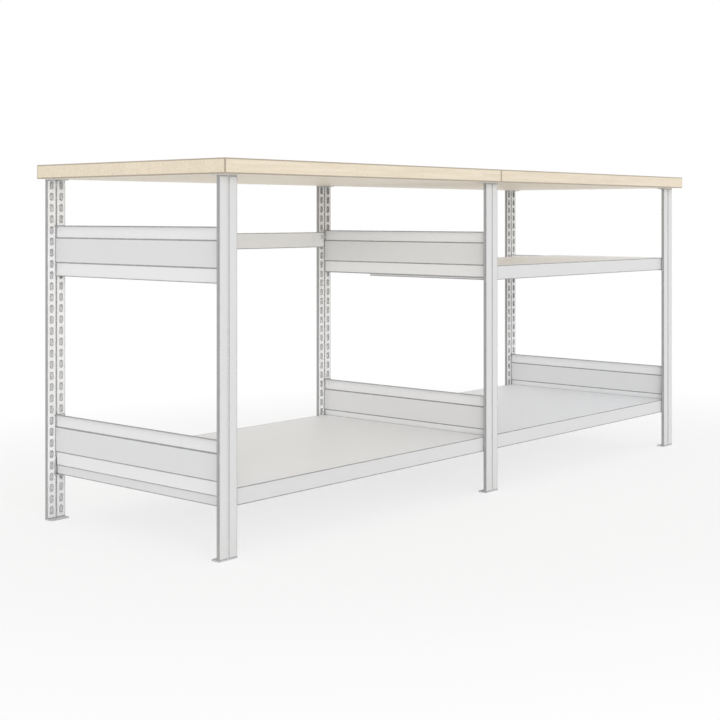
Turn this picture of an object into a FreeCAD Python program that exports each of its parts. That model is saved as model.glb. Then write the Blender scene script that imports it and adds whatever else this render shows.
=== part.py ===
import FreeCAD, Part
import math
import os

# Double-bay assembly table: three post frames carry two worktops end to end, two full-depth
# lower shelves and one shallower upper shelf. Millimetres, +Z up, +X along the table, front at -Y.
# The origin lies on the floor, under the middle of the worktops.

# ---- table as a whole ----
bay_pitch = 1000.0  # centre plane of one frame to the centre plane of the next
frame_depth = 640.0  # outer face of the front posts to outer face of the rear posts

# ---- worktops ----
worktop_thickness = 35.0
front_overhang = 32.0  # worktop beyond the front posts
rear_overhang = 18.0  # worktop beyond the rear posts
side_overhang = 12.0  # worktop beyond the outer posts
worktop_chamfer = 1.5
dowel_radius = 5.0
dowel_depth = 35.0  # depth of a dowel in each board
dowel_end_gap = 1.0
dowel_spacing = 230.0
dowel_count = 3

# ---- posts: closed outer face, two slotted lips on the inner side ----
post_width = 56.0
post_depth = 9.0
post_sheet = 1.5
post_length = 852.0
post_bend_radius = 2.0
lip_gap = 3.0  # slit between the two lips
groove_width = 4.5  # stiffening groove down the outer face
groove_floor = 1.4
groove_depth = 2.0
slot_width = 11.0
slot_height = 20.0
slot_corner_radius = 4.0
slot_offset = 14.5  # slot column from the centre line of the post
slot_pitch = 28.2
first_slot_height = 20.5  # lowest slot centre above the post's lower end
slot_end_margin = 10.0  # least distance from the top slot's centre to the post's upper end

# ---- foot and head plates, plugged into the ends of the posts ----
plate_thickness = 3.0
plate_reach = 26.0  # from the outer face of the post inwards
plate_corner = 3.0
tongue_width = 15.0
tongue_thickness = 2.0
tongue_length = 16.0
fit_gap = 0.2  # clearance of pieces that slide into each other
anchor_hole_radius = 4.5
screw_hole_radius = 2.75
screw_offset = 14.0  # worktop screws from the centre line of the post

# ---- shelves: folded steel trays, open side down ----
shelf_sheet = 1.2
shelf_edge = 40.0  # height of the folded edges
shelf_return = 14.0  # lower lip turned inwards
shelf_bend_radius = 2.0
shelf_side_gap = 0.5  # lower shelf to the side panel beside it
seat_gap = 0.3  # shelf to clip or rail
lower_shelf_height = 114.0  # floor to the underside of the lower shelves
upper_shelf_height = 586.0  # floor to the underside of the upper shelf
upper_shelf_depth = 438.0

# ---- stiffeners under the shelves: top-hat section ----
stiffener_depth = 24.0
stiffener_crown = 30.0
stiffener_foot = 15.0
stiffener_end_gap = 2.0

# ---- side panels: pressed sheet welded between two strips that are bolted to the posts ----
panel_sheet = 1.0
panel_height = 128.0
panel_lower_band = 33.0
panel_middle_band = 65.0  # raised field between the two plain bands
swage_rise = 3.0
swage_run = 3.0
panel_top_fold = 8.0  # turned to the side that the field is raised to
lower_panel_rise = 22.0  # panel's lower edge above the underside of the lower shelf
middle_panel_rise = 7.0  # panel's lower edge above the underside of the upper shelf
left_upper_panel_height = 613.0  # floor to the lower edge of the left upper panel
strip_thickness = 1.5
strip_reach = 24.0  # free edge of a strip from the centre plane of its frame
strip_clearance = 4.0  # strip above a shelf beside it
panel_notch = 4.0  # lower corner cut away to clear the shelf clips

# ---- rear tie of the left bay ----
tie_height = 46.0
tie_thickness = 3.0
tie_rise = 56.0  # tie's lower edge above the lower edge of the left upper panel
tie_end_inset = 1.5  # tie's ends from the side panels they stop at
tie_joggle_start = 60.0  # from the centre plane of the middle frame
tie_joggle_run = 10.0

# ---- rails that carry the back of the upper shelf ----
rail_thickness = 3.0
rail_height = 32.0
rail_rise = 6.0  # rail's lower edge above the underside of the upper shelf

# ---- shelf clips ----
clip_sheet = 1.5
clip_half_width = 24.0
clip_wing = 7.0  # stretch of a clip past the centre line of its post
clip_inner_edge = 5.0  # clip that stops short of the centre line
clip_foot_length = 16.0
clip_height = 37.0
hook_width = 8.0
hook_corner_radius = 2.5
hook_height = 8.0
hook_drop = 6.0
hook_thickness = 2.0

# ---- fasteners ----
bolt_radius = 3.0
bolt_hole_clearance = 0.5
thread_clearance = 0.1
bolt_head_width = 18.0
bolt_head_height = 8.0
bolt_head_thickness = 2.8
bolt_tip = 1.5  # thread past the nut
bolt_edge_margin = 9.0  # bolt centre from the ends of a flange
nut_across_flats = 10.0
nut_thickness = 5.5
nut_flange_radius = 6.5
nut_flange_thickness = 1.4
nut_tie_clearance = 1.0  # least gap between a strip's nut and the edge of the rear tie
side_screw_rise = 22.0  # screw above the underside of the upper shelf
side_screw_inset = 60.0  # screw from the front and back edges of the upper shelf
button_radius = 5.2
button_thickness = 2.6
button_rounding = 2.0
wood_screw_radius = 2.0
wood_screw_length = 26.0  # in the worktop
wood_screw_head_radius = 4.6
wood_screw_head_thickness = 2.4
pilot_extra_depth = 1.0

# ---- values that follow from the sizes above ----
frame_places = {"left": -bay_pitch, "middle": 0.0, "right": bay_pitch}
worktop_depth = frame_depth + front_overhang + rear_overhang
worktop_end = bay_pitch + post_width / 2 + side_overhang
front_face = front_overhang - worktop_depth / 2
rear_face = worktop_depth / 2 - rear_overhang
front_lip = front_face + post_depth
rear_lip = rear_face - post_depth
post_top = plate_thickness + post_length
worktop_underside = post_top + plate_thickness
lower_shelf_top = lower_shelf_height + shelf_edge
upper_shelf_top = upper_shelf_height + shelf_edge
lower_panel_bottom = lower_shelf_height + lower_panel_rise
middle_upper_panel_bottom = upper_shelf_height + middle_panel_rise
tie_bottom = left_upper_panel_height + tie_rise
rail_bottom = upper_shelf_height + rail_rise
shelf_front = front_lip + clip_sheet + seat_gap
lower_shelf_back = rear_lip - clip_sheet - seat_gap
upper_shelf_back = shelf_front + upper_shelf_depth
lower_shelf_inset = panel_sheet / 2 + shelf_side_gap
upper_shelf_inset = panel_sheet / 2 + rail_thickness + seat_gap
plate_hole_place = (post_depth + plate_reach) / 2
bolt_hole_radius = bolt_radius + bolt_hole_clearance
slot_run = post_length - first_slot_height - slot_end_margin
slot_count = int(slot_run / slot_pitch) + 1
slot_heights = [plate_thickness + first_slot_height + slot_pitch * n for n in range(slot_count)]
cut_margin = 1.0  # how far a cutting tool runs past the surface


def block(x0, x1, y0, y1, z0, z1):
    return Part.makeBox(x1 - x0, y1 - y0, z1 - z0, FreeCAD.Vector(x0, y0, z0))


def rod_along(direction, radius, start, length):
    return Part.makeCylinder(radius, length, FreeCAD.Vector(*start), FreeCAD.Vector(*direction))


def prism(corners, sweep):
    points = [FreeCAD.Vector(*corner) for corner in corners]
    outline = Part.makePolygon(points + points[:1])
    return Part.Face(outline).extrude(FreeCAD.Vector(*sweep))


def edges_at(shape, axis, places):
    """Straight edges along axis (0, 1 or 2) that pass through one of the places, given by the other two axes."""
    others = [n for n in range(3) if n != axis]
    found = []
    for edge in shape.Edges:
        ends = [vertex.Point for vertex in edge.Vertexes]
        if len(ends) != 2 or abs(ends[0][axis] - ends[1][axis]) < edge.Length - 1e-6:
            continue
        spot = [ends[0][n] for n in others]
        if any(math.dist(spot, place) < 1e-6 for place in places):
            found.append(edge)
    return found


def at_post(shape, frame, row):
    """Move a piece drawn on a post with its outer face centre at the origin and its inside towards +Y."""
    placed = shape.copy()
    if row == "rear":
        placed.rotate(FreeCAD.Vector(0, 0, 0), FreeCAD.Vector(0, 0, 1), 180)
    face = front_face if row == "front" else rear_face
    placed.translate(FreeCAD.Vector(frame_places[frame], face, 0))
    return placed


def side_on_post(row, side):
    """Which hand of the post a side of the table lies on: +1 or -1."""
    return side if row == "front" else -side


def save(name, shape):
    shape.exportStep("parts/" + name + ".step")


def slot_cutter():
    tool = block(
        -slot_width / 2,
        slot_width / 2,
        post_depth - post_sheet - cut_margin,
        post_depth + cut_margin,
        -slot_height / 2,
        slot_height / 2,
    )
    corners = [(x * slot_width / 2, z * slot_height / 2) for x in (-1, 1) for z in (-1, 1)]
    return tool.makeFillet(slot_corner_radius, edges_at(tool, 1, corners))


def post():
    half = post_width / 2
    inside = half - post_sheet
    back = post_depth - post_sheet
    mouth = groove_width / 2
    floor = groove_floor / 2
    ridge = post_sheet / 2
    right_half = [
        (floor, groove_depth),
        (mouth, 0),
        (half, 0),
        (half, post_depth),
        (lip_gap / 2, post_depth),
        (lip_gap / 2, back),
        (inside, back),
        (inside, post_sheet),
        (mouth + ridge, post_sheet),
        (floor + ridge, groove_depth + post_sheet),
    ]
    left_half = [(-x, y) for x, y in reversed(right_half)]
    section = [(x, y, plate_thickness) for x, y in right_half + left_half]
    body = prism(section, (0, 0, post_length))
    outer = [(x * half, y) for x in (-1, 1) for y in (0, post_depth)]
    inner = [(x * inside, y) for x in (-1, 1) for y in (post_sheet, back)]
    body = body.makeFillet(post_bend_radius, edges_at(body, 2, outer))
    body = body.makeFillet(post_bend_radius - post_sheet, edges_at(body, 2, inner))
    tool = slot_cutter()
    slots = []
    for height in slot_heights:
        for hand in (-1, 1):
            slot = tool.copy()
            slot.translate(FreeCAD.Vector(hand * slot_offset, 0, height))
            slots.append(slot)
    return body.cut(Part.makeCompound(slots))


def end_plate(holes):
    """Plate on the floor side of a post with a tongue up into the post; holes are (place across, radius)."""
    half = post_width / 2
    plate = block(-half, half, 0, plate_reach, 0, plate_thickness)
    plate = plate.makeFillet(plate_corner, edges_at(plate, 2, [(-half, plate_reach), (half, plate_reach)]))
    tongue_back = post_depth - post_sheet - fit_gap
    tongue = block(
        -tongue_width / 2,
        tongue_width / 2,
        tongue_back - tongue_thickness,
        tongue_back,
        plate_thickness - cut_margin,
        plate_thickness + tongue_length,
    )
    plate = plate.fuse(tongue).removeSplitter()
    for across, radius in holes:
        start = (across, plate_hole_place, -cut_margin)
        plate = plate.cut(rod_along((0, 0, 1), radius, start, plate_thickness + 2 * cut_margin))
    return plate


def foot_plate():
    return end_plate([(0, anchor_hole_radius)])


def head_plate():
    plate = end_plate([(-screw_offset, screw_hole_radius), (screw_offset, screw_hole_radius)])
    plate = plate.mirror(FreeCAD.Vector(0, 0, 0), FreeCAD.Vector(0, 0, 1))
    plate.translate(FreeCAD.Vector(0, 0, worktop_underside))
    return plate


def slots_between(low, high):
    return [height for height in slot_heights if low <= height <= high]


def outermost(slots):
    return sorted(set(slots[:1] + slots[-1:]))


def bolt_heights(low, high):
    """The lowest and highest slot that a strip from low to high can be bolted through."""
    return outermost(slots_between(low + bolt_edge_margin, high - bolt_edge_margin))


def bolt_heights_off_tie(low, high):
    """The same, of the slots whose nuts lie below or above the rear tie."""
    lowest = low + bolt_edge_margin
    highest = high - bolt_edge_margin
    reach = nut_flange_radius + nut_tie_clearance
    below = slots_between(lowest, min(highest, tie_bottom - reach))
    above = slots_between(max(lowest, tie_bottom + tie_height + reach), highest)
    return outermost(below + above)


def left_upper_bolts(row):
    span = strip_span(left_upper_panel_height, 0)
    return bolt_heights_off_tie(*span) if row == "rear" else bolt_heights(*span)


def nearest_slot(height):
    return min(slot_heights, key=lambda slot: abs(slot - height))


def side_panel(frame, bottom, notch_top):
    """Pressed sheet on a frame's centre plane; its lower corners are cut away up to notch_top."""
    place = frame_places[frame]
    face = place - panel_sheet / 2
    back = place + panel_sheet / 2
    raised = face - swage_rise
    swage_low = bottom + panel_lower_band
    swage_high = swage_low + panel_middle_band
    top = bottom + panel_height
    left_side = [
        (face, bottom),
        (face, swage_low),
        (raised, swage_low + swage_run),
        (raised, swage_high - swage_run),
        (face, swage_high),
    ]
    fold = [
        (face, top - panel_sheet),
        (back - panel_top_fold, top - panel_sheet),
        (back - panel_top_fold, top),
        (back, top),
    ]
    right_side = [(x + panel_sheet, z) for x, z in reversed(left_side)]
    front_end = front_lip + strip_thickness
    rear_end = rear_lip - strip_thickness
    section = [(x, front_end, z) for x, z in left_side + fold + right_side]
    panel = prism(section, (0, rear_end - front_end, 0))
    if notch_top > bottom:
        sides = (place - panel_notch, place + panel_notch)
        for edges in ((front_lip, front_lip + panel_notch), (rear_lip - panel_notch, rear_lip)):
            panel = panel.cut(block(*sides, *edges, bottom - cut_margin, notch_top))
    return panel


def strip_span(panel_bottom, beside_shelf_top):
    return max(panel_bottom, beside_shelf_top + strip_clearance), panel_bottom + panel_height


def end_strips(frame, left_edge, thickness, span, front_holes, rear_holes):
    """Two upright strips on the right-hand lips of a frame's posts, with bolt holes at the given heights."""
    place = frame_places[frame]
    pieces = []
    for lip, inward, heights in ((front_lip, 1, front_holes), (rear_lip, -1, rear_holes)):
        sides = sorted((lip, lip + inward * thickness))
        strip = block(left_edge, place + strip_reach, *sides, *span)
        for height in heights:
            start = (place + slot_offset, sides[0] - cut_margin, height)
            hole = rod_along((0, 1, 0), bolt_hole_radius, start, thickness + 2 * cut_margin)
            strip = strip.cut(hole)
        pieces.append(strip)
    return Part.makeCompound(pieces)


def panel_strips(frame, bottom, beside_shelf_top, rear_holes=None):
    """Strips at the ends of a side panel; they cover the whole depth of its raised field."""
    left_edge = frame_places[frame] - panel_sheet / 2 - swage_rise
    span = strip_span(bottom, beside_shelf_top)
    heights = bolt_heights(*span)
    return end_strips(frame, left_edge, strip_thickness, span, heights, rear_holes or heights)


def tray(x0, x1, y0, y1, z0):
    """Shelf folded from one sheet: deck on top, edges down, lower lips turned inwards."""
    z1 = z0 + shelf_edge
    outer = block(x0, x1, y0, y1, z0, z1)
    rim = edges_at(outer, 0, [(y0, z1), (y1, z1)]) + edges_at(outer, 1, [(x0, z1), (x1, z1)])
    rim += edges_at(outer, 2, [(x, y) for x in (x0, x1) for y in (y0, y1)])
    outer = outer.makeFillet(shelf_bend_radius, rim)
    hollow = block(
        x0 + shelf_sheet,
        x1 - shelf_sheet,
        y0 + shelf_sheet,
        y1 - shelf_sheet,
        z0 + shelf_sheet,
        z1 - shelf_sheet,
    )
    mouth = block(
        x0 + shelf_return,
        x1 - shelf_return,
        y0 + shelf_return,
        y1 - shelf_return,
        z0 - cut_margin,
        z0 + shelf_sheet + cut_margin,
    )
    return outer.cut(hollow).cut(mouth)


def lower_shelf(left_frame):
    x0 = frame_places[left_frame] + lower_shelf_inset
    x1 = frame_places[left_frame] + bay_pitch - lower_shelf_inset
    return tray(x0, x1, shelf_front, lower_shelf_back, lower_shelf_height)


def side_screw_places():
    return (shelf_front + side_screw_inset, upper_shelf_back - side_screw_inset)


def side_screw_height():
    return upper_shelf_height + side_screw_rise


def upper_shelf_ends_at():
    return frame_places["middle"] + upper_shelf_inset, frame_places["right"] - upper_shelf_inset


def upper_shelf_outside(x0, x1):
    """Solid with the outer shape of the upper shelf, rounded along the front and back of the deck."""
    outside = block(x0, x1, shelf_front, upper_shelf_back, upper_shelf_height, upper_shelf_top)
    long_edges = [(shelf_front, upper_shelf_top), (upper_shelf_back, upper_shelf_top)]
    return outside.makeFillet(shelf_bend_radius, edges_at(outside, 0, long_edges))


def upper_shelf():
    """Deck with folded front and back edges and their lower lips, between the two end plates."""
    left_end, right_end = upper_shelf_ends_at()
    x0 = left_end + shelf_sheet
    x1 = right_end - shelf_sheet
    hollow = block(
        x0 - cut_margin,
        x1 + cut_margin,
        shelf_front + shelf_sheet,
        upper_shelf_back - shelf_sheet,
        upper_shelf_height + shelf_sheet,
        upper_shelf_top - shelf_sheet,
    )
    mouth = block(
        x0 - cut_margin,
        x1 + cut_margin,
        shelf_front + shelf_return,
        upper_shelf_back - shelf_return,
        upper_shelf_height - cut_margin,
        upper_shelf_height + shelf_sheet + cut_margin,
    )
    return upper_shelf_outside(x0, x1).cut(hollow).cut(mouth)


def upper_shelf_end_plates():
    """Flat plates welded on the ends of the upper shelf, with the holes of its side screws."""
    left_end, right_end = upper_shelf_ends_at()
    plates = []
    for x in (left_end, right_end - shelf_sheet):
        plate = upper_shelf_outside(x, x + shelf_sheet)
        for place in side_screw_places():
            start = (x - cut_margin, place, side_screw_height())
            hole = rod_along((1, 0, 0), bolt_hole_radius, start, shelf_sheet + 2 * cut_margin)
            plate = plate.cut(hole)
        plates.append(plate)
    return Part.makeCompound(plates)


def stiffener(x0, x1, place, deck_top):
    """Top-hat section welded along the underside of a deck; place is its middle in depth."""
    under = deck_top - shelf_sheet
    crown = stiffener_crown / 2
    foot = crown + stiffener_foot
    low = under - stiffener_depth
    right_half = [
        (crown, low),
        (crown, under - shelf_sheet),
        (foot, under - shelf_sheet),
        (foot, under),
        (crown - shelf_sheet, under),
        (crown - shelf_sheet, low + shelf_sheet),
    ]
    left_half = [(-y, z) for y, z in reversed(right_half)]
    start = x0 + shelf_return + stiffener_end_gap
    end = x1 - shelf_return - stiffener_end_gap
    section = [(start, place + y, z) for y, z in right_half + left_half]
    return prism(section, (end - start, 0, 0))


def shelf_stiffener(left_frame, inset, back, top, share):
    x0 = frame_places[left_frame] + inset
    x1 = frame_places[left_frame] + bay_pitch - inset
    return stiffener(x0, x1, shelf_front + share * (back - shelf_front), top)


def rear_tie():
    """Flat bar on the rear posts: over the left upper panel's strip, then joggled onto the middle post."""
    left = frame_places["left"] + panel_sheet / 2 + tie_end_inset
    right = frame_places["middle"] - panel_sheet / 2 - swage_rise - tie_end_inset
    joggle = frame_places["middle"] - tie_joggle_start
    near = rear_lip - strip_thickness
    back_edge = [(left, near), (joggle, near), (joggle + tie_joggle_run, rear_lip), (right, rear_lip)]
    front_edge = [(x, y - tie_thickness) for x, y in reversed(back_edge)]
    section = [(x, y, tie_bottom) for x, y in back_edge + front_edge]
    bar = prism(section, (0, 0, tie_height))
    for x in tie_bolt_columns():
        start = (x, near - tie_thickness - cut_margin, tie_bolt_height())
        reach = strip_thickness + tie_thickness + 2 * cut_margin
        bar = bar.cut(rod_along((0, 1, 0), bolt_hole_radius, start, reach))
    return bar


def tie_bolt_height():
    return nearest_slot(tie_bottom + tie_height / 2)


def tie_bolt_columns():
    return (frame_places["left"] + slot_offset, frame_places["middle"] - slot_offset)


def rail_top():
    return rail_bottom + rail_height


def tapped_rail(left_face, front_end, rear_end):
    rail = block(left_face, left_face + rail_thickness, front_end, rear_end, rail_bottom, rail_top())
    for place in side_screw_places():
        start = (left_face - cut_margin, place, side_screw_height())
        hole = rod_along((1, 0, 0), bolt_radius + thread_clearance, start, rail_thickness + 2 * cut_margin)
        rail = rail.cut(hole)
    return rail


def middle_shelf_rail():
    """Bar welded to the lower band of the middle upper panel, on the side of the upper shelf."""
    return tapped_rail(frame_places["middle"] + panel_sheet / 2, front_lip, rear_lip)


def right_rail_face():
    return frame_places["right"] - panel_sheet / 2 - rail_thickness


def right_rail_bolt():
    return nearest_slot((rail_bottom + rail_top()) / 2)


def right_shelf_rail():
    """Bar beside the upper shelf's right end, welded between its own two strips."""
    return tapped_rail(right_rail_face(), front_lip + rail_thickness, rear_lip - rail_thickness)


def right_rail_strips():
    heights = [right_rail_bolt()]
    span = (rail_bottom, rail_top())
    return end_strips("right", right_rail_face(), rail_thickness, span, heights, heights)


def shelf_clip(x0, x1, hook_hands, shelf_height):
    """Plate on the lips of a post, hooked through its slots, with a foot under the shelf."""
    foot_low = shelf_height - clip_sheet
    hook_low = min(height for height in slot_heights if height - slot_height / 2 > shelf_height)
    hook_low -= slot_height / 2
    lip = post_depth
    clip = block(x0, x1, lip, lip + clip_sheet, foot_low, foot_low + clip_height)
    clip = clip.fuse(block(x0, x1, lip, lip + clip_foot_length, foot_low, shelf_height))
    behind = lip - post_sheet - fit_gap
    for hand in hook_hands:
        middle = hand * slot_offset
        sides = (middle - hook_width / 2, middle + hook_width / 2)
        neck = block(*sides, behind - hook_thickness, lip + clip_sheet, hook_low, hook_low + hook_height)
        neck = neck.makeFillet(hook_corner_radius, edges_at(neck, 1, [(x, hook_low) for x in sides]))
        hook = block(*sides, behind - hook_thickness, behind, hook_low - hook_drop, hook_low + hook_height)
        clip = clip.fuse(neck).fuse(hook)
    return clip.removeSplitter()


def end_clip(frame, row, bay_side, inner, shelf_height):
    """Clip for one shelf; bay_side is +1 where the shelf lies towards +X, inner is the edge near the post's middle."""
    hand = side_on_post(row, bay_side)
    span = sorted((hand * inner, hand * clip_half_width))
    return at_post(shelf_clip(span[0], span[1], [hand], shelf_height), frame, row)


def lower_clips(frame, bay_side):
    return [end_clip(frame, row, bay_side, -clip_wing, lower_shelf_height) for row in ("front", "rear")]


def middle_clips():
    double = shelf_clip(-clip_half_width, clip_half_width, [-1, 1], lower_shelf_height)
    return [at_post(double, "middle", row) for row in ("front", "rear")]


def upper_clips():
    left = end_clip("middle", "front", 1, clip_inner_edge, upper_shelf_height)
    right = end_clip("right", "front", -1, clip_inner_edge, upper_shelf_height)
    return [left, right]


def slot_bolt(column, height, grip):
    """Bolt with a bar head behind the lip; grip is the thickness clamped in front of the lip."""
    lip_back = post_depth - post_sheet
    half = bolt_head_width / 2
    head = block(
        column - half,
        column + half,
        lip_back - bolt_head_thickness,
        lip_back,
        height - bolt_head_height / 2,
        height + bolt_head_height / 2,
    )
    length = post_sheet + grip + nut_thickness + bolt_tip
    return head.fuse(rod_along((0, 1, 0), bolt_radius, (column, lip_back, height), length))


def slot_nut(column, height, grip):
    seat = post_depth + grip
    corner = nut_across_flats / math.sqrt(3)
    angles = [math.radians(60 * n) for n in range(6)]
    outline = [(column + corner * math.cos(a), seat, height + corner * math.sin(a)) for a in angles]
    nut = prism(outline, (0, nut_thickness, 0))
    nut = nut.fuse(rod_along((0, 1, 0), nut_flange_radius, (column, seat, height), nut_flange_thickness))
    bore_start = (column, seat - cut_margin, height)
    bore = rod_along((0, 1, 0), bolt_radius + thread_clearance, bore_start, nut_thickness + 2 * cut_margin)
    return nut.cut(bore)


def frame_joints(frame):
    """Slots of a frame that hold a bolt on the right-hand lips, from the lowest up: (height, row, grip)."""
    joints = []
    for row in ("front", "rear"):
        heights = bolt_heights(*strip_span(lower_panel_bottom, lower_shelf_top))
        if frame == "left":
            heights += left_upper_bolts(row)
        if frame == "middle":
            heights += bolt_heights(*strip_span(middle_upper_panel_bottom, upper_shelf_top))
        joints += [(height, row, strip_thickness) for height in heights]
        if frame == "right":
            joints.append((right_rail_bolt(), row, rail_thickness))
    return sorted(joints)


def frame_fasteners(frame, make):
    pieces = []
    for height, row, grip in frame_joints(frame):
        column = side_on_post(row, 1) * slot_offset
        pieces.append(at_post(make(column, height, grip), frame, row))
    return Part.makeCompound(pieces)


def tie_fasteners(make):
    """The left end clamps the panel's strip and the tie, the right end the tie alone."""
    left_grip = strip_thickness + tie_thickness
    ends = [("left", 1, left_grip), ("middle", -1, tie_thickness)]
    pieces = []
    for frame, side, grip in ends:
        column = side_on_post("rear", side) * slot_offset
        pieces.append(at_post(make(column, tie_bolt_height(), grip), frame, "rear"))
    return Part.makeCompound(pieces)


def side_screws():
    """Button-head screws from inside the upper shelf into the tapped rails."""
    pieces = []
    for shelf_end, inward in zip(upper_shelf_ends_at(), (1, -1)):
        seat = shelf_end + inward * shelf_sheet
        length = shelf_sheet + seat_gap + rail_thickness - fit_gap
        for place in side_screw_places():
            start = (seat, place, side_screw_height())
            shank = rod_along((-inward, 0, 0), bolt_radius, start, length)
            head = rod_along((inward, 0, 0), button_radius, start, button_thickness)
            crown = [edge for edge in head.Edges if abs(edge.CenterOfMass.x - seat) > button_thickness * 0.9]
            pieces.append(head.makeFillet(button_rounding, crown).fuse(shank))
    return Part.makeCompound(pieces)


def worktop_screw_places(board):
    """Screws into one board: both at its outer frame, one at the middle frame, in each row."""
    side = -1 if board == "left" else 1
    columns = [side * bay_pitch - screw_offset, side * bay_pitch + screw_offset, side * screw_offset]
    rows = (front_face + plate_hole_place, rear_face - plate_hole_place)
    return [(x, y) for x in columns for y in rows]


def dowel_places():
    return [dowel_spacing * (n - (dowel_count - 1) / 2) for n in range(dowel_count)]


def dowel_height():
    return worktop_underside + worktop_thickness / 2


def worktop(board):
    side = -1 if board == "left" else 1
    ends = sorted((0, side * worktop_end))
    edges = (-worktop_depth / 2, worktop_depth / 2)
    top = worktop_underside + worktop_thickness
    slab = block(ends[0], ends[1], edges[0], edges[1], worktop_underside, top)
    outer_end = side * worktop_end
    rim = edges_at(slab, 0, [(y, z) for y in edges for z in (worktop_underside, top)])
    rim += edges_at(slab, 1, [(outer_end, z) for z in (worktop_underside, top)])
    rim += edges_at(slab, 2, [(outer_end, y) for y in edges])
    slab = slab.makeChamfer(worktop_chamfer, rim)
    for x, y in worktop_screw_places(board):
        start = (x, y, worktop_underside - cut_margin)
        depth = wood_screw_length + pilot_extra_depth + cut_margin
        slab = slab.cut(rod_along((0, 0, 1), wood_screw_radius, start, depth))
    for place in dowel_places():
        start = (-side * cut_margin, place, dowel_height())
        depth = dowel_depth + dowel_end_gap + cut_margin
        slab = slab.cut(rod_along((side, 0, 0), dowel_radius, start, depth))
    return slab


def worktop_dowels():
    pieces = []
    for place in dowel_places():
        start = (-dowel_depth, place, dowel_height())
        pieces.append(rod_along((1, 0, 0), dowel_radius, start, 2 * dowel_depth))
    return Part.makeCompound(pieces)


def worktop_screws(board):
    pieces = []
    plate_low = worktop_underside - plate_thickness
    for x, y in worktop_screw_places(board):
        shank = rod_along((0, 0, 1), wood_screw_radius, (x, y, plate_low), plate_thickness + wood_screw_length)
        low = plate_low - wood_screw_head_thickness
        crown = wood_screw_head_radius - wood_screw_head_thickness
        head = Part.makeCone(crown, wood_screw_head_radius, wood_screw_head_thickness, FreeCAD.Vector(x, y, low))
        pieces.append(head.fuse(shank))
    return Part.makeCompound(pieces)


def build():
    os.makedirs("parts", exist_ok=True)
    upright = post()
    foot = foot_plate()
    head = head_plate()
    for frame in frame_places:
        for row in ("front", "rear"):
            name = frame + "_" + row
            save(name + "_post", at_post(upright, frame, row))
            save(name + "_foot_plate", at_post(foot, frame, row))
            save(name + "_head_plate", at_post(head, frame, row))
        save(frame + "_lower_panel", side_panel(frame, lower_panel_bottom, lower_shelf_top + fit_gap))
        save(frame + "_lower_panel_strips", panel_strips(frame, lower_panel_bottom, lower_shelf_top))
        save(frame + "_frame_bolts", frame_fasteners(frame, slot_bolt))
        save(frame + "_frame_nuts", frame_fasteners(frame, slot_nut))
    save("left_upper_panel", side_panel("left", left_upper_panel_height, 0))
    rear_holes = left_upper_bolts("rear") + [tie_bolt_height()]
    save("left_upper_panel_strips", panel_strips("left", left_upper_panel_height, 0, rear_holes))
    save("middle_upper_panel", side_panel("middle", middle_upper_panel_bottom, 0))
    save("middle_upper_panel_strips", panel_strips("middle", middle_upper_panel_bottom, upper_shelf_top))
    save("rear_tie", rear_tie())
    save("tie_bolts", tie_fasteners(slot_bolt))
    save("tie_nuts", tie_fasteners(slot_nut))
    for bay, frame in (("left", "left"), ("right", "middle")):
        save(bay + "_lower_shelf", lower_shelf(frame))
        for row, share in (("front", 1 / 4), ("rear", 3 / 4)):
            bar = shelf_stiffener(frame, lower_shelf_inset, lower_shelf_back, lower_shelf_top, share)
            save(bay + "_shelf_" + row + "_stiffener", bar)
    save("upper_shelf", upper_shelf())
    save("upper_shelf_ends", upper_shelf_end_plates())
    bar = shelf_stiffener("middle", upper_shelf_inset, upper_shelf_back, upper_shelf_top, 1 / 2)
    save("upper_shelf_stiffener", bar)
    save("middle_shelf_rail", middle_shelf_rail())
    save("right_shelf_rail", right_shelf_rail())
    save("right_rail_strips", right_rail_strips())
    save("shelf_side_screws", side_screws())
    save("left_shelf_clips", Part.makeCompound(lower_clips("left", 1)))
    save("middle_shelf_clips", Part.makeCompound(middle_clips()))
    save("right_shelf_clips", Part.makeCompound(lower_clips("right", -1)))
    save("upper_shelf_clips", Part.makeCompound(upper_clips()))
    for board in ("left", "right"):
        save(board + "_worktop", worktop(board))
        save(board + "_worktop_screws", worktop_screws(board))
    save("worktop_dowels", worktop_dowels())


build()
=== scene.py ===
import math

import bpy
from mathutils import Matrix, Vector


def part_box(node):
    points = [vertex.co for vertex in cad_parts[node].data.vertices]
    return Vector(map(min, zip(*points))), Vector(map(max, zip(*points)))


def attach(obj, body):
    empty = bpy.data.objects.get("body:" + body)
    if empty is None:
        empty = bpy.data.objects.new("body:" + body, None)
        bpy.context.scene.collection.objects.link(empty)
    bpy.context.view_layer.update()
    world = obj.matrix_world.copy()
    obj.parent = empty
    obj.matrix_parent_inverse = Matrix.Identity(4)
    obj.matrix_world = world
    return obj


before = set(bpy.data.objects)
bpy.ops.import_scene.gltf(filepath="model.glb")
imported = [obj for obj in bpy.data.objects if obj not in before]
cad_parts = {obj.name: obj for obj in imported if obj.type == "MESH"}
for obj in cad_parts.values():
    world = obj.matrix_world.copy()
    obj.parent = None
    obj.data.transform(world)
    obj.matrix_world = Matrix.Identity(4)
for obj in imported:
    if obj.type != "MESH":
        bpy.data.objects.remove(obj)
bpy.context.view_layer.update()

bl_info = {
    "name": "Assembly Table Finish",
    "version": (1, 0, 0),
    "blender": (4, 5, 0),
    "location": "View3D > Sidebar > Assembly Table",
    "description": "Powder coat, beech, zinc, slot rims and weld spots for an assembly table",
    "category": "Object",
}


def named(*endings):
    """The nodes whose names end in one of these words."""
    return sorted(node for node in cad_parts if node.endswith(endings))


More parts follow.
